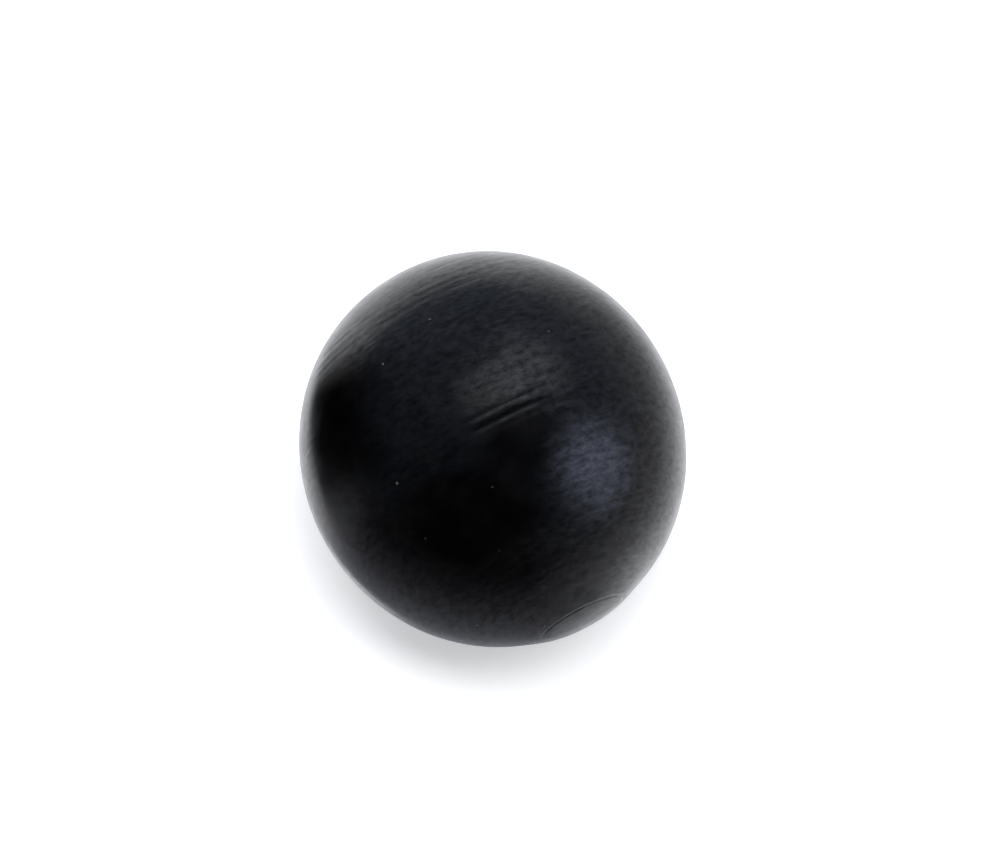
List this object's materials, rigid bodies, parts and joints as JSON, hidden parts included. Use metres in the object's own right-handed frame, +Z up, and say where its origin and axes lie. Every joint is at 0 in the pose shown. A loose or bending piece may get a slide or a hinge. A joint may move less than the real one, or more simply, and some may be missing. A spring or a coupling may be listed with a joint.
{
  "type": "wooden ball",
  "caption": "Small solid ball turned from boxwood and dyed black, with a low domed cap inside a fine ring where it was parted off.",
  "frame": {"origin": "middle of the turned ball, half way up, across and along", "axes": "+Z up; the turning axis lies level along Y, with the parted end, its cap and its ring towards -Y"},
  "size_m": [0.0198, 0.0207, 0.0198],
  "materials": {
    "dyed_wood": "boxwood dyed black right through the surface and burnished to a satin sheen, with fine turning marks"
  },
  "bodies": {
    "root": {"ball": "dyed_wood"}
  },
  "joints": []
}
